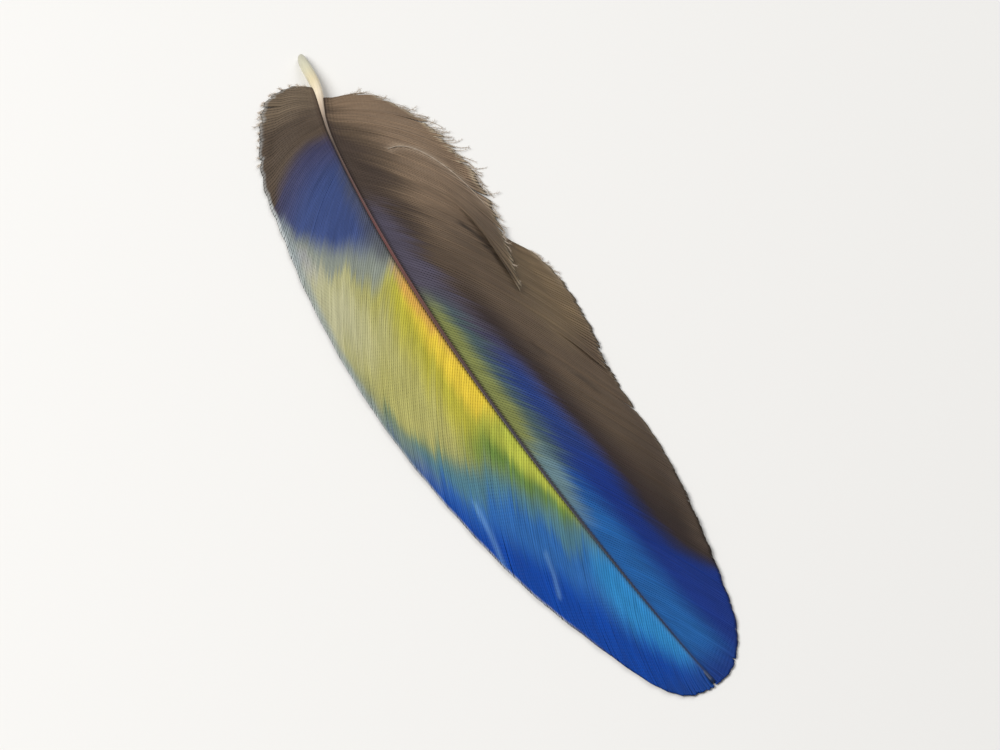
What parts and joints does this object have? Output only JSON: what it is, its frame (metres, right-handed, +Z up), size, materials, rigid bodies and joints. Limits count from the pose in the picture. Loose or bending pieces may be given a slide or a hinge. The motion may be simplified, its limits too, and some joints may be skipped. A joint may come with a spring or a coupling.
{
  "type": "macaw feather",
  "caption": "Long bowed wing covert feather with a bare quill, a narrow and a wide vane of barbs, blue, yellow-green and grey-brown, lying coloured side up.",
  "frame": {"origin": "middle of the feather's footprint, on the surface that it lies on", "axes": "+Y along the shaft towards the quill, +X across the feather towards the wide vane, +Z up out of the coloured side"},
  "size_m": [0.0283, 0.101, 0.0039],
  "materials": {
    "vane": "satin keratin barbs, blue, yellow-green and grey-brown",
    "shaft": "horny keratin, ivory at the quill and dark along the vanes"
  },
  "bodies": {
    "root": {"feather": "vane"}
  },
  "joints": []
}
